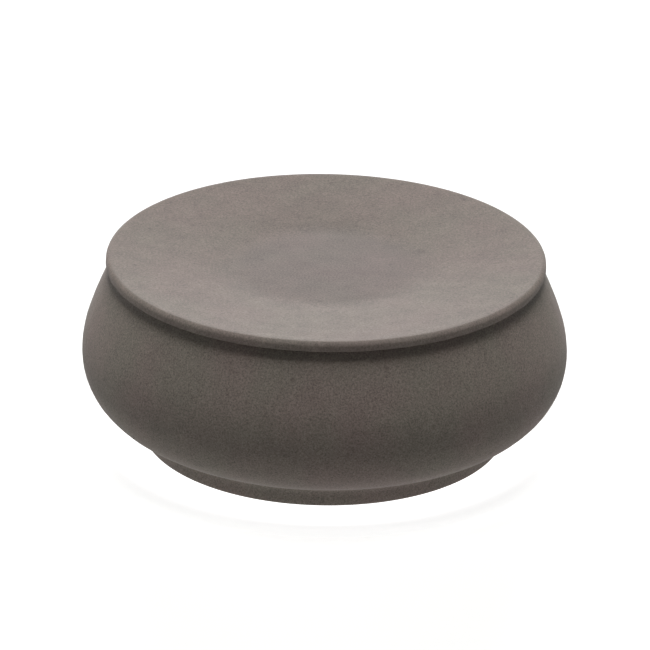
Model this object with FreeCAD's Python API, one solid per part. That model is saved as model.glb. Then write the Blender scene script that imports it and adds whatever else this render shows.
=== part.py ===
"""Lidded stoneware bowl for go stones: a squat turned bowl on a foot ring and a dished disc lid.

Units are millimetres. The origin is the middle of the foot ring's underside, on the table, and +Z
points up along the turning axis. Both pieces are bodies of revolution about that axis, so each one
is drawn as half a section in the XZ plane and turned once round.
"""
import FreeCAD, Part
import math
import os

from FreeCAD import Vector

# Bowl, outside
BELLY_RADIUS = 80.0          # widest ring of the bowl
RIM_HEIGHT = 59.25           # table to the flat land that the lid rests on
FOOT_RADIUS = 60.25          # upright outer side of the foot ring
FOOT_SIDE_HEIGHT = 3.7       # upright stretch of that side, below the hollow fillet
FOOT_FILLET = 4.0            # hollow fillet between the foot ring and the belly
LOWER_FLANK_ARC = 22.0       # section arc from the foot fillet out to the widest ring
UPPER_FLANK_ARC = 36.0       # section arc that turns in above the widest ring
UPPER_FLANK_TURN = 18.0      # degrees that the upper flank arc turns through
SHOULDER_ARC = 108.0         # long flat section arc from the upper flank to the rim

# Bowl, walls and edges
WALL = 5.0                   # wall between the outer section and the one inside it
FLOOR_THICKNESS = 4.6        # floor at the middle
FOOT_RECESS = 3.5            # table to the underside at the middle of the foot ring
FOOT_RING_WIDTH = 6.5        # radial width of the ring that stands on the table
FOOT_EDGE_ROUND = 0.8        # rounding of the two edges that meet the table
RECESS_FILLET = 2.0          # hollow fillet where the foot ring meets the underside
RIM_OUTER_ROUND = 2.5        # rounding from the shoulder to the rim's flat land
RIM_INNER_ROUND = 1.5        # rounding from that land into the mouth
FLANK_SHARE = 0.9            # most of the drop to the floor that the inner flank's arc may take

# Lid
LID_OVERHANG = 2.2           # lid's edge beyond the outer edge of the rim
LID_EDGE_THICKNESS = 3.25    # seat face to the top of the lid's edge
LID_TOP_ROUND = 1.5          # rounding of the lid's upper edge
LID_UNDER_ROUND = 0.6        # rounding of the lid's lower edge
DISH_DEPTH = 4.6             # top of the lid's edge to the flat middle of the dish
DISH_FLOOR_RADIUS = 31.0     # where the flat middle of the dish meets its sloping side
DISH_BLEND_ARC = 60.0        # section arc that eases the flat middle into the slope
LID_THICKNESS = 4.0          # lid at its middle
LOCATING_RING_DEPTH = 7.5    # seat face to the underside of the locating ring
LOCATING_RING_WIDTH = 4.0    # radial width of the locating ring
LOCATING_RING_ROUND = 1.2    # rounding of the locating ring's two lower edges
LID_CLEARANCE = 0.9          # radial gap between the locating ring and the mouth

MATCH = 0.01                 # how nearly an edge must lie where it is looked for


class Section:
    """Half a section in the XZ plane: points run (radius, height), joined by lines and arcs."""

    def __init__(self, radius, height):
        self.edges = []
        self.point = Vector(radius, 0, height)

    def line(self, radius, height):
        """Straight run to a new point."""
        target = Vector(radius, 0, height)
        self.edges.append(Part.LineSegment(self.point, target).toShape())
        self.point = target

    def arc(self, centre, start, end):
        """Arc about a centre from one direction to another, in degrees from outward towards up."""
        radius = (self.point - Vector(centre[0], 0, centre[1])).Length
        places = [polar(centre, radius, angle) for angle in ((start + end) / 2, end)]
        middle, target = [Vector(place[0], 0, place[1]) for place in places]
        self.edges.append(Part.Arc(self.point, middle, target).toShape())
        self.point = target

    def turned(self):
        """Close the section along the axis and turn it once round into a solid."""
        first = self.edges[0].Vertexes[0].Point
        self.line(first.x, first.z)
        face = Part.Face(Part.Wire(self.edges))
        return face.revolve(Vector(0, 0, 0), Vector(0, 0, 1), 360)


def polar(centre, radius, angle):
    """Point at a distance and a direction from a centre, as (radius, height)."""
    turn = math.radians(angle)
    return centre[0] + radius * math.cos(turn), centre[1] + radius * math.sin(turn)


def ring_edges(solid, radius, height):
    """The solid's circular edges of one radius at one height."""
    curved = [edge for edge in solid.Edges if not edge.Degenerated]
    circles = [edge for edge in curved if isinstance(edge.Curve, Part.Circle)]
    level = [edge for edge in circles if abs(edge.Curve.Center.z - height) < MATCH]
    return [edge for edge in level if abs(edge.Curve.Radius - radius) < MATCH]


class Flank:
    """Centres and joints of the arcs that make the bowl's outer section."""

    def __init__(self):
        lower_r = BELLY_RADIUS - LOWER_FLANK_ARC
        self.fillet = (FOOT_RADIUS + FOOT_FILLET, FOOT_SIDE_HEIGHT)
        reach = LOWER_FLANK_ARC + FOOT_FILLET
        aside = self.fillet[0] - lower_r
        self.belly_height = FOOT_SIDE_HEIGHT + math.sqrt(reach ** 2 - aside ** 2)
        self.lower = (lower_r, self.belly_height)
        self.lower_start = -math.degrees(math.acos(aside / reach))
        self.upper = (BELLY_RADIUS - UPPER_FLANK_ARC, self.belly_height)
        self.shoulder = polar(self.upper, UPPER_FLANK_ARC - SHOULDER_ARC, UPPER_FLANK_TURN)

    def rim_angle(self, radius):
        """Direction from the shoulder's centre at which an arc of this radius reaches the rim."""
        return math.degrees(math.asin((RIM_HEIGHT - self.shoulder[1]) / radius))

    def rim_radius(self, radius):
        """Radius from the axis at which a shoulder arc of this radius reaches the rim."""
        return polar(self.shoulder, radius, self.rim_angle(radius))[0]


FLANK = Flank()
RIM_RADIUS = FLANK.rim_radius(SHOULDER_ARC)
MOUTH_RADIUS = FLANK.rim_radius(SHOULDER_ARC - WALL)
LID_RADIUS = RIM_RADIUS + LID_OVERHANG
LID_TOP = RIM_HEIGHT + LID_EDGE_THICKNESS
LOCATING_RING_RADIUS = MOUTH_RADIUS - LID_CLEARANCE


class Inside:
    """Arcs inside the bowl below its widest ring: one inside the lower flank, and the floor's.

    The flank's arc follows the outer one at the wall's distance, or is smaller where the floor is
    so near that it would meet it first. The floor's shallow arc is level on the axis and ends
    tangent to the flank's arc, in the direction floor_end, in degrees from outward towards up.
    """

    def __init__(self):
        drop = FLANK.belly_height - FOOT_RECESS - FLOOR_THICKNESS
        flank_arc = min(LOWER_FLANK_ARC - WALL, drop * FLANK_SHARE)
        centre_r = BELLY_RADIUS - WALL - flank_arc
        self.flank = (centre_r, FLANK.belly_height)
        self.floor_arc = (centre_r ** 2 + drop ** 2 - flank_arc ** 2) / (2 * (drop - flank_arc))
        lift = self.floor_arc - drop
        self.floor = (0, FLANK.belly_height + lift)
        self.floor_end = -math.degrees(math.atan2(lift, centre_r))


def bowl():
    """Bowl turned in one piece with its foot ring."""
    inside = Inside()
    under_arc = inside.floor_arc + FLOOR_THICKNESS
    recess_radius = FOOT_RADIUS - FOOT_RING_WIDTH
    recess_end = -math.degrees(math.acos(recess_radius / under_arc))
    recess_height = polar(inside.floor, under_arc, recess_end)[1]

    section = Section(0, FOOT_RECESS)
    section.arc(inside.floor, -90, recess_end)
    section.line(recess_radius, 0)
    section.line(FOOT_RADIUS, 0)
    section.line(FOOT_RADIUS, FOOT_SIDE_HEIGHT)
    section.arc(FLANK.fillet, 180, 180 + FLANK.lower_start)
    section.arc(FLANK.lower, FLANK.lower_start, 0)
    section.arc(FLANK.upper, 0, UPPER_FLANK_TURN)
    section.arc(FLANK.shoulder, UPPER_FLANK_TURN, FLANK.rim_angle(SHOULDER_ARC))
    section.line(MOUTH_RADIUS, RIM_HEIGHT)
    section.arc(FLANK.shoulder, FLANK.rim_angle(SHOULDER_ARC - WALL), UPPER_FLANK_TURN)
    section.arc(FLANK.upper, UPPER_FLANK_TURN, 0)
    section.arc(inside.flank, 0, inside.floor_end)
    section.arc(inside.floor, inside.floor_end, -90)
    solid = section.turned()

    solid = solid.makeFillet(RECESS_FILLET, ring_edges(solid, recess_radius, recess_height))
    standing = ring_edges(solid, recess_radius, 0) + ring_edges(solid, FOOT_RADIUS, 0)
    solid = solid.makeFillet(FOOT_EDGE_ROUND, standing)
    solid = solid.makeFillet(RIM_OUTER_ROUND, ring_edges(solid, RIM_RADIUS, RIM_HEIGHT))
    return solid.makeFillet(RIM_INNER_ROUND, ring_edges(solid, MOUTH_RADIUS, RIM_HEIGHT))


def lid():
    """Lid: a disc dished on top, with a ring underneath that keeps it centred in the mouth.

    The dish's side is tangent to the rounding of the lid's edge, and the underside inside the ring
    runs parallel to the dish.
    """
    lip = (LID_RADIUS - LID_TOP_ROUND, LID_TOP - LID_TOP_ROUND)
    dish_floor = LID_TOP - DISH_DEPTH
    out, up = lip[0] - DISH_FLOOR_RADIUS, lip[1] - dish_floor
    slope = math.atan2(up, out) + math.asin(LID_TOP_ROUND / math.hypot(out, up))
    ease = DISH_BLEND_ARC * math.tan(slope / 2)
    underside = dish_floor - LID_THICKNESS
    ring_bottom = RIM_HEIGHT - LOCATING_RING_DEPTH
    ring_inside = LOCATING_RING_RADIUS - LOCATING_RING_WIDTH
    under_rise = (ring_inside - DISH_FLOOR_RADIUS) * math.tan(slope)

    section = Section(0, underside)
    section.line(DISH_FLOOR_RADIUS, underside)
    section.line(ring_inside, underside + under_rise)
    section.line(ring_inside, ring_bottom)
    section.line(LOCATING_RING_RADIUS, ring_bottom)
    section.line(LOCATING_RING_RADIUS, RIM_HEIGHT)
    section.line(LID_RADIUS, RIM_HEIGHT)
    section.line(LID_RADIUS, lip[1])
    section.arc(lip, 0, 90 + math.degrees(slope))
    section.line(DISH_FLOOR_RADIUS + ease * math.cos(slope), dish_floor + ease * math.sin(slope))
    dish_centre = (DISH_FLOOR_RADIUS - ease, dish_floor + DISH_BLEND_ARC)
    section.arc(dish_centre, math.degrees(slope) - 90, -90)
    section.line(0, dish_floor)
    solid = section.turned()

    solid = solid.makeFillet(LID_UNDER_ROUND, ring_edges(solid, LID_RADIUS, RIM_HEIGHT))
    ring_lower = ring_edges(solid, ring_inside, ring_bottom)
    ring_lower += ring_edges(solid, LOCATING_RING_RADIUS, ring_bottom)
    return solid.makeFillet(LOCATING_RING_ROUND, ring_lower)


os.makedirs("parts", exist_ok=True)
for name, make in (("bowl", bowl), ("lid", lid)):
    shape = make()
    shape.exportStep(f"parts/{name}.step")
    print(name, "valid:", shape.isValid(), "volume:", round(shape.Volume), "mm3")
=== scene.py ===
"""Looks of a lidded stoneware bowl for go stones: turned clay surfaces, sandy finish and studio.

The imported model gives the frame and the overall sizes. Each piece is a body of revolution: half a
section in millimetres, walked from the axis out and back to the axis, is turned round the Z axis
and then given the slight unevenness of clay that was shaped on a wheel and fired.
"""

import logging
import math
from dataclasses import dataclass
from typing import Any

import bpy
import numpy as np
from mathutils import Matrix, Vector


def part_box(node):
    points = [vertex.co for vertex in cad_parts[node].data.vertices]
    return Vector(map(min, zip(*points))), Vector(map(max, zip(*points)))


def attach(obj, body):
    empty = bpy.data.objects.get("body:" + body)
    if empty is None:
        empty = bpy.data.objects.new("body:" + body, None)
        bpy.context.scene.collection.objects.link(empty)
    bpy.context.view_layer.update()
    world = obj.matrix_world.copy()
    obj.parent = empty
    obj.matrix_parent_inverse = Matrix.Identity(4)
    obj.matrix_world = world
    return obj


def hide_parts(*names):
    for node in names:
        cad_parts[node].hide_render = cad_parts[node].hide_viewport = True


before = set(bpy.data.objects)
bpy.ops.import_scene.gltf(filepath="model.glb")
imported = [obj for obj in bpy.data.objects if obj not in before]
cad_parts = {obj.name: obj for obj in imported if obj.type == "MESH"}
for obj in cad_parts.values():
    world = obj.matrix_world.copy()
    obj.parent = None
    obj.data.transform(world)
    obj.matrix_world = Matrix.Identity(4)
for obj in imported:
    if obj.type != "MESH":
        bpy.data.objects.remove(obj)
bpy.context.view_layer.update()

LOG = logging.getLogger("go_stone_bowl")
MM = 0.001
MATCH_MM = 0.001       # points of a section closer than this are one point
ARC_STEP_DEG = 11.0    # longest turn between two points of an arc
AXIS_FADE_MM = 6.0     # radius within which the wheel's unevenness fades to nothing
REST_FADE_MM = 3.0     # height from a resting face within which it fades too


def linear_colour(hex_code: str) -> tuple[float, float, float, float]:
    """Turn an sRGB hex colour into the linear colour that shaders take.

    Each channel up to 0.04045 is divided by 12.92, and each one above it has 0.055 added, is
    divided by 1.055 and raised to 2.4.

    Args:
        hex_code: Six hex digits, such as "8a817c".

    Returns:
        Linear red, green, blue and an alpha of one.
    """
    srgb = np.array([int(hex_code[i : i + 2], 16) for i in (0, 2, 4)]) / 255.0
    linear = np.where(srgb <= 0.04045, srgb / 12.92, ((srgb + 0.055) / 1.055) ** 2.4)
    return (*linear.tolist(), 1.0)


def add_node(
    tree: bpy.types.NodeTree,
    kind: str,
    settings: dict[str, Any] | None = None,
    inputs: dict[Any, Any] | None = None,
) -> bpy.types.Node:
    """Add one shader node with its settings and its inputs.

    Args:
        tree: The material's node tree.
        kind: The node's Blender type.
        settings: Attributes of the node, by name.
        inputs: Values for its input sockets, by name or number; an output socket is linked.

    Returns:
        The new node.
    """
    made = tree.nodes.new(kind)
    for name, value in (settings or {}).items():
        setattr(made, name, value)
    for name, value in (inputs or {}).items():
        if isinstance(value, bpy.types.NodeSocket):
            tree.links.new(value, made.inputs[name])
        else:
            made.inputs[name].default_value = value
    return made


class HalfSection:
    """Half a section in millimetres, as points of (radius, height) walked in order."""

    def __init__(self, radius: float, height: float, step: float) -> None:
        """Start the walk.

        Args:
            radius: Distance of the first point from the axis.
            height: Height of the first point.
            step: Longest distance between two points.
        """
        self.step = step
        self.runs = [np.array([[radius, height]])]

    def line(self, radius: float, height: float) -> None:
        """Walk straight to a point, evenly divided.

        Args:
            radius: Distance of the end from the axis.
            height: Height of the end.
        """
        start = self.runs[-1][-1]
        end = np.array([radius, height])
        parts = max(1, math.ceil(np.linalg.norm(end - start) / self.step))
        share = np.linspace(0.0, 1.0, parts + 1)[1:, None]
        self.runs.append(start + share * (end - start))

    def arc(self, centre: tuple[float, float], radius: float, start: float, end: float) -> None:
        """Walk to an arc's start, then along it.

        A point of the arc is its centre plus its radius times the cosine and sine of an angle
        that runs evenly from start to end.

        Args:
            centre: Radius and height of the arc's centre.
            radius: The arc's radius.
            start: Direction of its first point, in degrees from outward towards up.
            end: Direction of its last point.
        """
        angles = np.radians([start, end])
        first = np.array(centre) + radius * np.array([math.cos(angles[0]), math.sin(angles[0])])
        if np.linalg.norm(first - self.runs[-1][-1]) > MATCH_MM:
            self.line(*first)
        length = radius * abs(angles[1] - angles[0])
        turns = abs(end - start) / ARC_STEP_DEG
        parts = max(2, math.ceil(length / self.step), math.ceil(turns))
        sweep = np.linspace(angles[0], angles[1], parts + 1)[1:]
        points = np.stack([np.cos(sweep), np.sin(sweep)], axis=1)
        self.runs.append(np.array(centre) + radius * points)

    def points(self) -> np.ndarray:
        """The whole walk as one array of (radius, height)."""
        return np.concatenate(self.runs)


@dataclass(frozen=True)
class WheelHand:
    """Slight unevenness left by the wheel, the sponge and the kiln, in millimetres."""

    seed: int
    ring_depth: float = 0.018
    ring_pitch: float = 7.5
    ring_drift: float = 0.8
    wave_depth: float = 0.06
    wave_count: int = 6
    wave_turns: int = 5
    wave_pitch: float = 55.0
    pitch_spread: tuple[float, float] = (0.7, 1.6)

    def offsets(self, along: np.ndarray, around: np.ndarray) -> np.ndarray:
        """Distance that each surface point moves along its normal, never outwards.

        The turning rings are a cosine of the distance along the section whose phase drifts slowly
        round the piece. The waves are a sum of cosines, each of a few whole turns round the piece
        and a few cycles along the section, with random phases. The sum is shifted to lie at or
        under zero, so that the piece never grows.

        Args:
            along: Distance walked along the section to each point, one column.
            around: Angle round the axis of each point, one row.

        Returns:
            An array of one row per section point and one column per angle.
        """
        draw = np.random.default_rng(self.seed)
        drift = self.ring_drift * np.sin(around + draw.uniform(0, math.tau))
        rings = np.cos(math.tau * along / self.ring_pitch + drift)
        waves = np.zeros_like(along + around)
        for _ in range(self.wave_count):
            turns = draw.integers(0, self.wave_turns)
            pitch = self.wave_pitch * draw.uniform(*self.pitch_spread)
            phases = draw.uniform(0, math.tau, 2)
            swell = np.cos(math.tau * along / pitch + phases[1])
            waves += np.cos(turns * around + phases[0]) * swell
        waves *= self.wave_depth / self.wave_count
        return self.ring_depth * rings + waves - self.ring_depth - self.wave_depth


def turned_surface(
    section: np.ndarray, rests: tuple[float, ...], hand: WheelHand, segments: int
) -> np.ndarray:
    """Turn a half section round the Z axis.

    A point of the surface is (r cos a, r sin a, h), where r and h are the section's radius and
    height moved along the section's normal by the wheel's unevenness, and a runs once round. The
    unevenness fades to nothing at the axis, and at the heights where the piece touches another
    one or the table, so that those faces stay flat.

    Args:
        section: Points of (radius, height) in millimetres, from the axis round to the axis.
        rests: Heights at which the piece rests on something or carries something.
        hand: The unevenness.
        segments: Number of divisions round the axis.

    Returns:
        Places in millimetres, one row per section point and one column per division.
    """
    walk = np.linalg.norm(np.diff(section, axis=0), axis=1)
    along = np.concatenate([[0.0], np.cumsum(walk)])[:, None]
    around = np.linspace(0.0, math.tau, segments, endpoint=False)[None, :]
    tangent = np.gradient(section, axis=0)
    tangent /= np.linalg.norm(tangent, axis=1, keepdims=True)
    normal = np.stack([tangent[:, 1], -tangent[:, 0]], axis=1)
    steady = np.clip(section[:, :1] / AXIS_FADE_MM, 0.0, 1.0)
    for rest in rests:
        steady *= np.clip(np.abs(section[:, 1:] - rest) / REST_FADE_MM, 0.0, 1.0)
    moved = hand.offsets(along, around) * steady
    radius = section[:, :1] + normal[:, :1] * moved
    height = section[:, 1:] + normal[:, 1:] * moved
    return np.stack([radius * np.cos(around), radius * np.sin(around), height], axis=2)


def closed_mesh(name: str, surface: np.ndarray) -> bpy.types.Mesh:
    """Make a closed mesh of a turned surface whose first and last rows lie on the axis.

    Neighbouring rows are joined by quads, and each end closes on the axis in a fan of triangles.

    Args:
        name: The mesh's name.
        surface: Places in millimetres, one row per section point and one column per division.

    Returns:
        The mesh, in metres, with its faces pointing outwards.
    """
    rings = surface[1:-1]
    count, segments = rings.shape[:2]
    points = np.concatenate([rings.reshape(-1, 3), surface[[0, -1], 0]]) * MM
    here = np.arange(segments)
    after = (here + 1) % segments
    low = (np.arange(count - 1) * segments)[:, None]
    high = low + segments
    quads = np.stack([low + here, low + after, high + after, high + here], axis=2)
    first_pole = np.full(segments, count * segments)
    last_ring = (count - 1) * segments
    first_fan = np.stack([first_pole, after, here], axis=1)
    last_fan = np.stack([first_pole + 1, last_ring + here, last_ring + after], axis=1)
    faces = quads.reshape(-1, 4).tolist() + first_fan.tolist() + last_fan.tolist()
    mesh = bpy.data.meshes.new(name)
    mesh.from_pydata(points.tolist(), [], faces)
    mesh.polygons.foreach_set("use_smooth", np.ones(len(faces), dtype=bool))
    mesh.update()
    return mesh


@dataclass(frozen=True)
class SandyStoneware:
    """Unglazed stoneware clay with fine sand in it, sponged smooth on the wheel and fired dark.

    It gives the eye a dry, matt taupe grey with a very fine grain: no shine, soft clouds of a
    greener and a browner grey, tiny pale grains of quartz and a few dark iron specks.
    """

    name: str
    clay: str = "635a53"
    green_cloud: str = "605b52"
    brown_cloud: str = "665954"
    quartz: str = "8a837b"
    iron: str = "3f3834"
    cloud_mm: float = 24.0          # clouds of colour as the kiln's fire leaves them
    cloud_octaves: float = 1.5
    cloud_low: float = 0.35         # cloud values at which the clay is all green and all brown
    cloud_high: float = 0.65
    cloud_share: float = 0.6
    mottle_mm: float = 7.0          # patches that the sponge leaves
    mottle_octaves: float = 4.0
    mottle_contrast: float = 0.07
    grain_mm: float = 0.55          # sand of 0.1 to 0.3 mm, drawn coarser so that it shows
    grain_contrast: float = 0.55
    grain_height_mm: float = 0.05
    grain_octaves: float = 2.0
    grain_harshness: float = 0.9
    quartz_mm: float = 1.6          # distance between quartz grains
    quartz_strength: float = 0.25
    iron_mm: float = 8.0            # distance between iron specks
    iron_strength: float = 0.35
    speck_reach: float = 0.14       # a speck's radius as a share of the distance between specks
    speck_core: float = 0.04        # the same for its evenly coloured middle
    roughness: float = 0.88
    diffuse_roughness: float = 0.6
    ior: float = 1.5

    def dress(self, piece: bpy.types.Object) -> None:
        """Make the material and give it to a piece.

        Args:
            piece: The object to dress.
        """
        material = bpy.data.materials.new(self.name)
        material.use_nodes = True
        tree = material.node_tree
        tree.nodes.clear()
        place = add_node(tree, "ShaderNodeTexCoord").outputs["Object"]
        surface = {
            "Base Color": self.flashed(tree, place, self.clay_colour(tree, place)),
            "Roughness": self.roughness,
            "IOR": self.ior,
            "Diffuse Roughness": self.diffuse_roughness,
            "Normal": self.grain_bump(tree, place),
        }
        shader = add_node(tree, "ShaderNodeBsdfPrincipled", {}, surface)
        add_node(tree, "ShaderNodeOutputMaterial", {}, {"Surface": shader.outputs["BSDF"]})
        piece.data.materials.clear()
        piece.data.materials.append(material)

    def noise(
        self,
        tree: bpy.types.NodeTree,
        place: bpy.types.NodeSocket,
        size_mm: float,
        octaves: float,
        harshness: float = 0.55,
    ) -> bpy.types.NodeSocket:
        """Cloudy value from 0 to 1 whose blobs are about the given size.

        Args:
            tree: The material's node tree.
            place: Object coordinates, in metres.
            size_mm: Size of one blob.
            octaves: Octaves of finer noise.
            harshness: Strength of each octave as a share of the one above it.

        Returns:
            The value's socket.
        """
        made = add_node(
            tree,
            "ShaderNodeTexNoise",
            {"noise_dimensions": "3D"},
            {
                "Vector": place,
                "Scale": 1.0 / (size_mm * MM),
                "Detail": octaves,
                "Roughness": harshness,
            },
        )
        return made.outputs["Fac"]

    def mix(
        self, tree: bpy.types.NodeTree, share: Any, first: Any, second: Any
    ) -> bpy.types.NodeSocket:
        """Mix two colours.

        Args:
            tree: The material's node tree.
            share: Share of the second colour, as a number or a socket.
            first: The first colour, as four numbers or a socket.
            second: The second colour, likewise.

        Returns:
            The mixed colour's socket.
        """
        inputs = {0: share, 6: first, 7: second}
        return add_node(tree, "ShaderNodeMix", {"data_type": "RGBA"}, inputs).outputs[2]

    def grains(
        self, tree: bpy.types.NodeTree, place: bpy.types.NodeSocket
    ) -> bpy.types.NodeSocket:
        """Sand grains as a value from 0 to 1, the same for the colour and for the bump."""
        return self.noise(tree, place, self.grain_mm, self.grain_octaves, self.grain_harshness)

    def clay_colour(
        self, tree: bpy.types.NodeTree, place: bpy.types.NodeSocket
    ) -> bpy.types.NodeSocket:
        """Clay clouded green and brown, with sponge marks, grain, quartz and iron specks.

        Args:
            tree: The material's node tree.
            place: Object coordinates, in metres.

        Returns:
            The colour's socket.
        """
        clouds = add_node(
            tree,
            "ShaderNodeMapRange",
            {},
            {
                "Value": self.noise(tree, place, self.cloud_mm, self.cloud_octaves),
                "From Min": self.cloud_low,
                "From Max": self.cloud_high,
            },
        )
        green, brown = linear_colour(self.green_cloud), linear_colour(self.brown_cloud)
        cloudy = self.mix(tree, clouds.outputs["Result"], green, brown)
        clay = self.mix(tree, self.cloud_share, linear_colour(self.clay), cloudy)
        mottle = self.noise(tree, place, self.mottle_mm, self.mottle_octaves)
        mottled = self.toned(tree, clay, mottle, self.mottle_contrast)
        grained = self.toned(tree, mottled, self.grains(tree, place), self.grain_contrast)
        sandy = self.specks(
            tree, place, grained, self.quartz, self.quartz_mm, self.quartz_strength
        )
        return self.specks(tree, place, sandy, self.iron, self.iron_mm, self.iron_strength)

    def toned(
        self,
        tree: bpy.types.NodeTree,
        colour: bpy.types.NodeSocket,
        cloud: bpy.types.NodeSocket,
        contrast: float,
    ) -> bpy.types.NodeSocket:
        """Lighten and darken a colour with a cloudy value.

        Args:
            tree: The material's node tree.
            colour: The colour to change.
            cloud: The cloudy value, mostly from a quarter to three quarters.
            contrast: Share of the colour's lightness that it gains or loses at those two values.

        Returns:
            The new colour's socket.
        """
        lightness = add_node(
            tree,
            "ShaderNodeMapRange",
            {},
            {
                "Value": cloud,
                "From Min": 0.25,
                "From Max": 0.75,
                "To Min": 1.0 - contrast,
                "To Max": 1.0 + contrast,
            },
        )
        inputs = {0: colour, "Scale": lightness.outputs["Result"]}
        return add_node(tree, "ShaderNodeVectorMath", {"operation": "SCALE"}, inputs).outputs[0]

    def specks(
        self,
        tree: bpy.types.NodeTree,
        place: bpy.types.NodeSocket,
        base: bpy.types.NodeSocket,
        hex_code: str,
        spacing_mm: float,
        strength: float,
    ) -> bpy.types.NodeSocket:
        """Strew round specks of one colour over a base colour.

        The specks are the middles of a Voronoi pattern's cells.

        Args:
            tree: The material's node tree.
            place: Object coordinates, in metres.
            base: Colour under the specks.
            hex_code: Colour of the specks.
            spacing_mm: Distance between neighbouring specks.
            strength: How far a speck's middle takes the new colour.

        Returns:
            The colour's socket.
        """
        cells = add_node(
            tree,
            "ShaderNodeTexVoronoi",
            {},
            {"Vector": place, "Scale": 1.0 / (spacing_mm * MM)},
        )
        share = add_node(
            tree,
            "ShaderNodeMapRange",
            {},
            {
                "Value": cells.outputs["Distance"],
                "From Min": self.speck_reach,
                "From Max": self.speck_core,
                "To Max": strength,
            },
        )
        return self.mix(tree, share.outputs["Result"], base, linear_colour(hex_code))

    def flashed(
        self,
        tree: bpy.types.NodeTree,
        place: bpy.types.NodeSocket,
        colour: bpy.types.NodeSocket,
    ) -> bpy.types.NodeSocket:
        """Colour change that the kiln leaves on part of the piece: none on plain clay."""
        return colour

    def grain_bump(
        self, tree: bpy.types.NodeTree, place: bpy.types.NodeSocket
    ) -> bpy.types.NodeSocket:
        """Raised sand grains as a normal.

        Args:
            tree: The material's node tree.
            place: Object coordinates, in metres.

        Returns:
            The normal's socket.
        """
        inputs = {
            "Height": self.grains(tree, place),
            "Distance": self.grain_height_mm * MM,
            "Strength": 1.0,
        }
        return add_node(tree, "ShaderNodeBump", {}, inputs).outputs["Normal"]


@dataclass(frozen=True)
class FlashedStoneware(SandyStoneware):
    """The same clay where another pot stood on it in the kiln: a darker, purpler round patch."""

    clay: str = "645a54"
    cloud_share: float = 0.35
    mottle_contrast: float = 0.12
    grain_mm: float = 0.65
    grain_contrast: float = 0.42
    flash_tint: str = "f0eff3"
    flash_radius_mm: float = 31.0
    flash_edge_mm: float = 9.0
    flash_wander_mm: float = 5.0
    wander_size_mm: float = 12.0
    wander_octaves: float = 3.0

    def flashed(
        self,
        tree: bpy.types.NodeTree,
        place: bpy.types.NodeSocket,
        colour: bpy.types.NodeSocket,
    ) -> bpy.types.NodeSocket:
        """Darken the middle of the piece, out to a soft and slightly wandering edge.

        Args:
            tree: The material's node tree.
            place: Object coordinates, in metres.
            colour: Colour of the clay.

        Returns:
            The colour's socket.
        """
        axes = add_node(tree, "ShaderNodeSeparateXYZ", {}, {"Vector": place}).outputs
        flat = add_node(tree, "ShaderNodeCombineXYZ", {}, {"X": axes["X"], "Y": axes["Y"]})
        reach = add_node(
            tree, "ShaderNodeVectorMath", {"operation": "LENGTH"}, {0: flat.outputs[0]}
        )
        wander = add_node(
            tree,
            "ShaderNodeMapRange",
            {},
            {
                "Value": self.noise(tree, place, self.wander_size_mm, self.wander_octaves),
                "To Min": -2.0 * self.flash_wander_mm * MM,
                "To Max": 2.0 * self.flash_wander_mm * MM,
            },
        )
        edge = add_node(
            tree,
            "ShaderNodeMath",
            {"operation": "ADD"},
            {0: reach.outputs["Value"], 1: wander.outputs["Result"]},
        )
        share = add_node(
            tree,
            "ShaderNodeMapRange",
            {"interpolation_type": "SMOOTHSTEP"},
            {
                "Value": edge.outputs[0],
                "From Min": (self.flash_radius_mm + self.flash_edge_mm) * MM,
                "From Max": (self.flash_radius_mm - self.flash_edge_mm) * MM,
            },
        )
        untinted, tinted = linear_colour("ffffff"), linear_colour(self.flash_tint)
        tint = self.mix(tree, share.outputs["Result"], untinted, tinted)
        inputs = {0: colour, 1: tint}
        darkened = add_node(tree, "ShaderNodeVectorMath", {"operation": "MULTIPLY"}, inputs)
        return darkened.outputs[0]


@dataclass(kw_only=True)
class TurnedPiece:
    """A piece that is turned in one on the wheel. Sizes are in millimetres."""

    name: str
    node: str
    clay_slot: str
    hand: WheelHand
    step: float
    segments: int

    def section(self) -> np.ndarray:
        """Half section of the piece, as points of (radius, height) from the axis to the axis."""
        raise NotImplementedError

    def rests(self) -> tuple[float, ...]:
        """Heights at which the piece rests on something or carries something."""
        raise NotImplementedError

    def build(self, finish: SandyStoneware) -> bpy.types.Object:
        """Make the piece, dress it and hand it over in place of its node.

        Args:
            finish: The clay that it is made of.

        Returns:
            The piece's object.
        """
        surface = turned_surface(self.section(), self.rests(), self.hand, self.segments)
        piece = bpy.data.objects.new(self.name, closed_mesh(self.name, surface))
        bpy.context.scene.collection.objects.link(piece)
        finish.dress(piece)
        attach(piece, self.node)
        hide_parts(self.node)
        return piece


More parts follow.
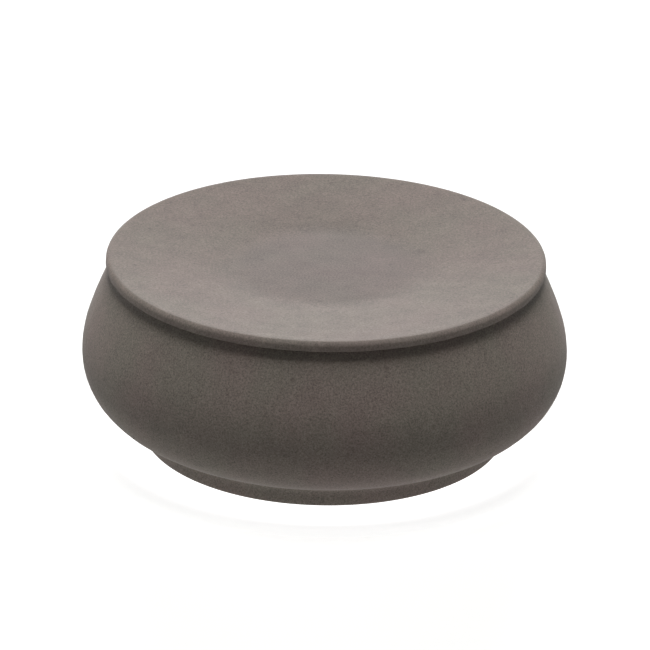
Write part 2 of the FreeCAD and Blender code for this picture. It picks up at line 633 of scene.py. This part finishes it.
@dataclass(kw_only=True)
class Bowl(TurnedPiece):
    """The bowl with its foot ring, turned in one piece. Sizes are in millimetres."""

    name: str = "bowl_body"
    node: str = "bowl"
    clay_slot: str = "bowl_stoneware"
    hand: WheelHand = WheelHand(seed=11)
    step: float = 2.2
    segments: int = 416
    base: float
    belly_radius: float
    rim_height: float
    foot_radius: float = 60.25
    foot_side_height: float = 3.7
    foot_fillet: float = 4.0
    lower_flank_arc: float = 22.0
    upper_flank_arc: float = 36.0
    upper_flank_turn: float = 18.0
    shoulder_arc: float = 108.0
    wall: float = 5.0
    floor_thickness: float = 4.6
    foot_recess: float = 3.5
    foot_ring_width: float = 6.5
    foot_edge_round: float = 0.8
    recess_fillet: float = 2.0
    rim_outer_round: float = 2.5
    rim_inner_round: float = 1.5

    def rests(self) -> tuple[float, ...]:
        """The table under the foot ring and the land of the rim."""
        return self.base, self.rim_height

    def section(self) -> np.ndarray:
        """Half section from the middle of the underside, out over the rim, to the middle inside.

        The lower flank, the upper flank and the shoulder are arcs that follow each other without
        a corner, and the inside has the same centres at the wall's distance. The floor is a
        shallow arc that ends tangent to the inner flank, and the underside is parallel to it.

        Returns:
            Points of (radius, height).
        """
        fillet = (self.foot_radius + self.foot_fillet, self.foot_side_height)
        lower_r = self.belly_radius - self.lower_flank_arc
        reach = self.lower_flank_arc + self.foot_fillet
        aside = fillet[0] - lower_r
        belly_height = self.foot_side_height + math.sqrt(reach**2 - aside**2)
        lower = (lower_r, belly_height)
        lower_start = -math.degrees(math.acos(aside / reach))
        upper = (self.belly_radius - self.upper_flank_arc, belly_height)
        turn = math.radians(self.upper_flank_turn)
        back = self.upper_flank_arc - self.shoulder_arc
        shoulder = (upper[0] + back * math.cos(turn), upper[1] + back * math.sin(turn))

        inner_flank_arc = self.lower_flank_arc - self.wall
        drop = belly_height - self.foot_recess - self.floor_thickness
        floor_arc = (lower_r**2 + drop**2 - inner_flank_arc**2) / (2 * (drop - inner_flank_arc))
        floor = (0.0, belly_height + floor_arc - drop)
        floor_end = -math.degrees(math.atan2(floor_arc - drop, lower_r))
        under_arc = floor_arc + self.floor_thickness

        recess_radius = self.foot_radius - self.foot_ring_width
        hollow_r = recess_radius - self.recess_fillet
        hollow_arc = under_arc + self.recess_fillet
        hollow_turn = math.acos(hollow_r / hollow_arc)
        hollow = (hollow_r, floor[1] - hollow_arc * math.sin(hollow_turn))
        hollow_start = math.degrees(hollow_turn)
        edge = self.foot_edge_round

        inner_arc = self.shoulder_arc - self.wall
        outer = self.rim_centre(shoulder, self.shoulder_arc, -self.rim_outer_round)
        inner = self.rim_centre(shoulder, inner_arc, self.rim_inner_round)
        outer_end, inner_end = self.bearing(shoulder, outer), self.bearing(shoulder, inner)

        walk = HalfSection(0.0, self.foot_recess, self.step)
        walk.arc(floor, under_arc, -90.0, -hollow_start)
        walk.arc(hollow, self.recess_fillet, 180.0 - hollow_start, 0.0)
        walk.arc((recess_radius + edge, edge), edge, 180.0, 270.0)
        walk.arc((self.foot_radius - edge, edge), edge, -90.0, 0.0)
        walk.arc(fillet, self.foot_fillet, 180.0, 180.0 + lower_start)
        walk.arc(lower, self.lower_flank_arc, lower_start, 0.0)
        walk.arc(upper, self.upper_flank_arc, 0.0, self.upper_flank_turn)
        walk.arc(shoulder, self.shoulder_arc, self.upper_flank_turn, outer_end)
        walk.arc(outer, self.rim_outer_round, outer_end, 90.0)
        walk.line(inner[0], self.rim_height)
        walk.arc(inner, self.rim_inner_round, 90.0, 180.0 + inner_end)
        walk.arc(shoulder, inner_arc, inner_end, self.upper_flank_turn)
        walk.arc(upper, self.upper_flank_arc - self.wall, self.upper_flank_turn, 0.0)
        walk.arc(lower, inner_flank_arc, 0.0, floor_end)
        walk.arc(floor, floor_arc, floor_end, -90.0)
        return walk.points()

    def rim_centre(
        self, shoulder: tuple[float, float], arc: float, rounding: float
    ) -> tuple[float, float]:
        """Centre of a rim rounding, which touches the rim's land and one of the shoulder's arcs.

        It lies one rounding under the land, and one rounding away from the arc.

        Args:
            shoulder: Centre of the shoulder's arcs.
            arc: Radius of the arc that it touches.
            rounding: Radius of the rounding, negative where it lies inside that arc.

        Returns:
            Radius and height of the centre.
        """
        height = self.rim_height - abs(rounding)
        away = math.sqrt((arc + rounding) ** 2 - (height - shoulder[1]) ** 2)
        return shoulder[0] + away, height

    def bearing(self, start: tuple[float, float], end: tuple[float, float]) -> float:
        """Direction from one point to another, in degrees from outward towards up."""
        return math.degrees(math.atan2(end[1] - start[1], end[0] - start[0]))


@dataclass(kw_only=True)
class Lid(TurnedPiece):
    """The dished lid with its locating ring, turned in one piece. Sizes are in millimetres."""

    name: str = "lid_disc"
    node: str = "lid"
    clay_slot: str = "lid_stoneware"
    hand: WheelHand = WheelHand(seed=23)
    step: float = 1.8
    segments: int = 400
    radius: float
    top: float
    ring_bottom: float
    edge_thickness: float = 3.25
    top_round: float = 1.5
    under_round: float = 0.6
    dish_depth: float = 4.6
    dish_floor_radius: float = 31.0
    dish_blend_arc: float = 60.0
    thickness: float = 4.0
    ring_radius: float = 63.2
    ring_width: float = 4.0
    ring_round: float = 1.2

    def rests(self) -> tuple[float, ...]:
        """The seat face that lies on the bowl's rim."""
        return (self.top - self.edge_thickness,)

    def section(self) -> np.ndarray:
        """Half section from the middle of the underside, out over the edge, to the dish's middle.

        The dish's side is tangent to the rounding of the edge and to the arc that eases it into
        the flat middle, and the underside inside the ring runs parallel to the dish.

        Returns:
            Points of (radius, height).
        """
        seat = self.top - self.edge_thickness
        lip = (self.radius - self.top_round, self.top - self.top_round)
        dish_floor = self.top - self.dish_depth
        out, up = lip[0] - self.dish_floor_radius, lip[1] - dish_floor
        slope = math.atan2(up, out) + math.asin(self.top_round / math.hypot(out, up))
        tilt = math.degrees(slope)
        ease = self.dish_blend_arc * math.tan(slope / 2)
        dish = (self.dish_floor_radius - ease, dish_floor + self.dish_blend_arc)
        underside = dish_floor - self.thickness
        inside = self.ring_radius - self.ring_width
        rise = (inside - self.dish_floor_radius) * math.tan(slope)
        low = self.ring_bottom + self.ring_round
        edge = self.under_round

        walk = HalfSection(0.0, underside, self.step)
        walk.line(self.dish_floor_radius, underside)
        walk.line(inside, underside + rise)
        walk.arc((inside + self.ring_round, low), self.ring_round, 180.0, 270.0)
        walk.arc((self.ring_radius - self.ring_round, low), self.ring_round, -90.0, 0.0)
        walk.line(self.ring_radius, seat)
        walk.arc((self.radius - edge, seat + edge), edge, -90.0, 0.0)
        walk.arc(lip, self.top_round, 0.0, 90.0 + tilt)
        walk.arc(dish, self.dish_blend_arc, tilt - 90.0, -90.0)
        walk.line(0.0, dish_floor)
        return walk.points()


@dataclass(frozen=True)
class SoftLight:
    """A flat oblong panel of soft light, aimed at the middle of the object.

    Lengths are in metres. The bearing is in degrees from the front towards the right, and the
    elevation in degrees above the horizon.
    """

    name: str
    watts: float
    bearing: float
    elevation: float
    width: float = 0.7
    depth: float = 0.35
    distance: float = 1.5

    def place(self, aim: Vector) -> bpy.types.Object:
        """Hang the panel at its bearing and elevation, facing the aim.

        Args:
            aim: The point that it faces.

        Returns:
            The light's object.
        """
        panel = bpy.data.lights.new(self.name, "AREA")
        panel.energy = self.watts
        panel.shape = "RECTANGLE"
        panel.size = self.width
        panel.size_y = self.depth
        lamp = bpy.data.objects.new(self.name, panel)
        bearing, rise = math.radians(self.bearing), math.radians(self.elevation)
        away = Vector((math.sin(bearing), -math.cos(bearing), 0.0)) * math.cos(rise)
        away.z = math.sin(rise)
        lamp.location = aim + away * self.distance
        lamp.rotation_euler = away.to_track_quat("Z", "Y").to_euler()
        bpy.context.scene.collection.objects.link(lamp)
        return lamp


@dataclass(frozen=True)
class OpalAcrylic:
    """Opal acrylic sheet with a sanded top and a painted glow: the sheet's own material gives off
    light round the object, with no lamp there.

    It gives the eye a pale, matt and even ground that glows close to the foot. Sizes are in metres.
    """

    name: str = "sanded_opal_acrylic_painted_glow"
    sheet: str = "d2d2d1"
    # colour and reach of the painted glow that the sheet itself gives off round the foot; there is
    # no lamp under it
    lamp: str = "ffffff"
    painted_glow_strength: float = 1.36
    painted_glow_full: float = 0.064
    painted_glow_end: float = 0.092
    roughness: float = 0.9
    ior: float = 1.49

    def dress(self, floor: bpy.types.Object) -> None:
        """Make the material and give it to the floor.

        The painted glow, given off by the sheet's own material, shows at full strength out to one
        radius and fades smoothly to nothing at another.

        Args:
            floor: The object to dress.
        """
        opal = bpy.data.materials.new(self.name)
        opal.use_nodes = True
        tree = opal.node_tree
        tree.nodes.clear()
        place = add_node(tree, "ShaderNodeTexCoord").outputs["Object"]
        away = add_node(tree, "ShaderNodeVectorMath", {"operation": "LENGTH"}, {0: place})
        # painted glow: a round patch of emission in the floor's own material, strongest about the
        # foot
        painted_glow = add_node(
            tree,
            "ShaderNodeMapRange",
            {"interpolation_type": "SMOOTHSTEP"},
            {
                "Value": away.outputs["Value"],
                "From Min": self.painted_glow_full,
                "From Max": self.painted_glow_end,
                "To Min": self.painted_glow_strength,
                "To Max": 0.0,
            },
        )
        surface = {
            "Base Color": linear_colour(self.sheet),
            "Roughness": self.roughness,
            "IOR": self.ior,
            "Specular IOR Level": 0.0,
            # painted glow: the sheet's own emission, standing where no lamp is
            "Emission Color": linear_colour(self.lamp),
            "Emission Strength": painted_glow.outputs["Result"],
        }
        shader = add_node(tree, "ShaderNodeBsdfPrincipled", {}, surface)
        add_node(tree, "ShaderNodeOutputMaterial", {}, {"Surface": shader.outputs["BSDF"]})
        floor.data.materials.append(opal)


@dataclass
class Studio:
    """Pale floor, soft lights and the camera. Lengths are in metres, lens and sensor in mm."""

    camera_distance: float = 1.5
    camera_elevation: float = 23.67
    camera_roll: float = -0.92
    aim_height: float = 0.0371
    lens: float = 252.2
    sensor: float = 36.0
    floor_half: float = 4.0
    # the floor's finish carries a painted glow round the foot
    floor_finish: OpalAcrylic = OpalAcrylic()
    lights: tuple[SoftLight, ...] = (
        SoftLight("overhead_softbox", watts=38.2, bearing=0.0, elevation=90.0, depth=0.7),
        SoftLight("back_softbox", watts=29.1, bearing=180.0, elevation=13.0, depth=0.7),
        SoftLight("left_card", watts=2.4, bearing=270.0, elevation=7.0),
        SoftLight("right_card", watts=0.9, bearing=90.0, elevation=7.0),
        SoftLight("back_left_card", watts=4.4, bearing=225.0, elevation=7.0),
        SoftLight("back_right_card", watts=2.7, bearing=135.0, elevation=7.0),
    )

    def build(self, base: float) -> None:
        """Make the floor, the lights and the camera.

        Args:
            base: Height that the object stands at.
        """
        self.lay_floor(base)
        aim = Vector((0.0, 0.0, base + self.aim_height))
        for light in self.lights:
            light.place(aim)
        self.set_camera(aim)
        bpy.context.scene.view_settings.view_transform = "Standard"

    def lay_floor(self, base: float) -> None:
        """Lay a square, seamless floor.

        Args:
            base: Height of the floor.
        """
        reach = self.floor_half
        signs = ((-1, -1), (1, -1), (1, 1), (-1, 1))
        corners = [(x_sign * reach, y_sign * reach, base) for x_sign, y_sign in signs]
        mesh = bpy.data.meshes.new("floor")
        mesh.from_pydata(corners, [], [(0, 1, 2, 3)])
        floor = bpy.data.objects.new("floor", mesh)
        bpy.context.scene.collection.objects.link(floor)
        self.floor_finish.dress(floor)

    def set_camera(self, aim: Vector) -> None:
        """Set the camera in front of the object, looking down at it with a slight roll.

        Args:
            aim: The point in the middle of the picture.
        """
        rise, roll = math.radians(self.camera_elevation), math.radians(self.camera_roll)
        back = Vector((0.0, -math.cos(rise), math.sin(rise)))
        down = Vector((0.0, -math.sin(rise), -math.cos(rise)))
        right = Vector((math.cos(roll), 0.0, 0.0)) + down * math.sin(roll)
        up = Vector((math.sin(roll), 0.0, 0.0)) - down * math.cos(roll)
        data = bpy.data.cameras.new("camera")
        data.lens = self.lens
        data.sensor_width = self.sensor
        camera = bpy.data.objects.new("camera", data)
        turn = Matrix((right, up, back)).transposed()
        camera.matrix_world = Matrix.Translation(aim + back * self.camera_distance) @ turn.to_4x4()
        bpy.context.scene.collection.objects.link(camera)
        bpy.context.scene.camera = camera


def main() -> None:
    logging.basicConfig(level=logging.INFO, format="%(name)s: %(message)s")
    bowl_low, bowl_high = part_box("bowl")
    lid_low, lid_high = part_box("lid")
    Studio().build(bowl_low.z)
    bowl = Bowl(base=bowl_low.z / MM, belly_radius=bowl_high.x / MM, rim_height=bowl_high.z / MM)
    lid = Lid(radius=lid_high.x / MM, top=lid_high.z / MM, ring_bottom=lid_low.z / MM)
    pieces = (
        bowl.build(SandyStoneware("sponged_sandy_stoneware")),
        lid.build(FlashedStoneware("kiln_flashed_sandy_stoneware")),
    )
    for piece in pieces:
        LOG.info("%s: %d faces", piece.name, len(piece.data.polygons))


if __name__ == "__main__":
    main()
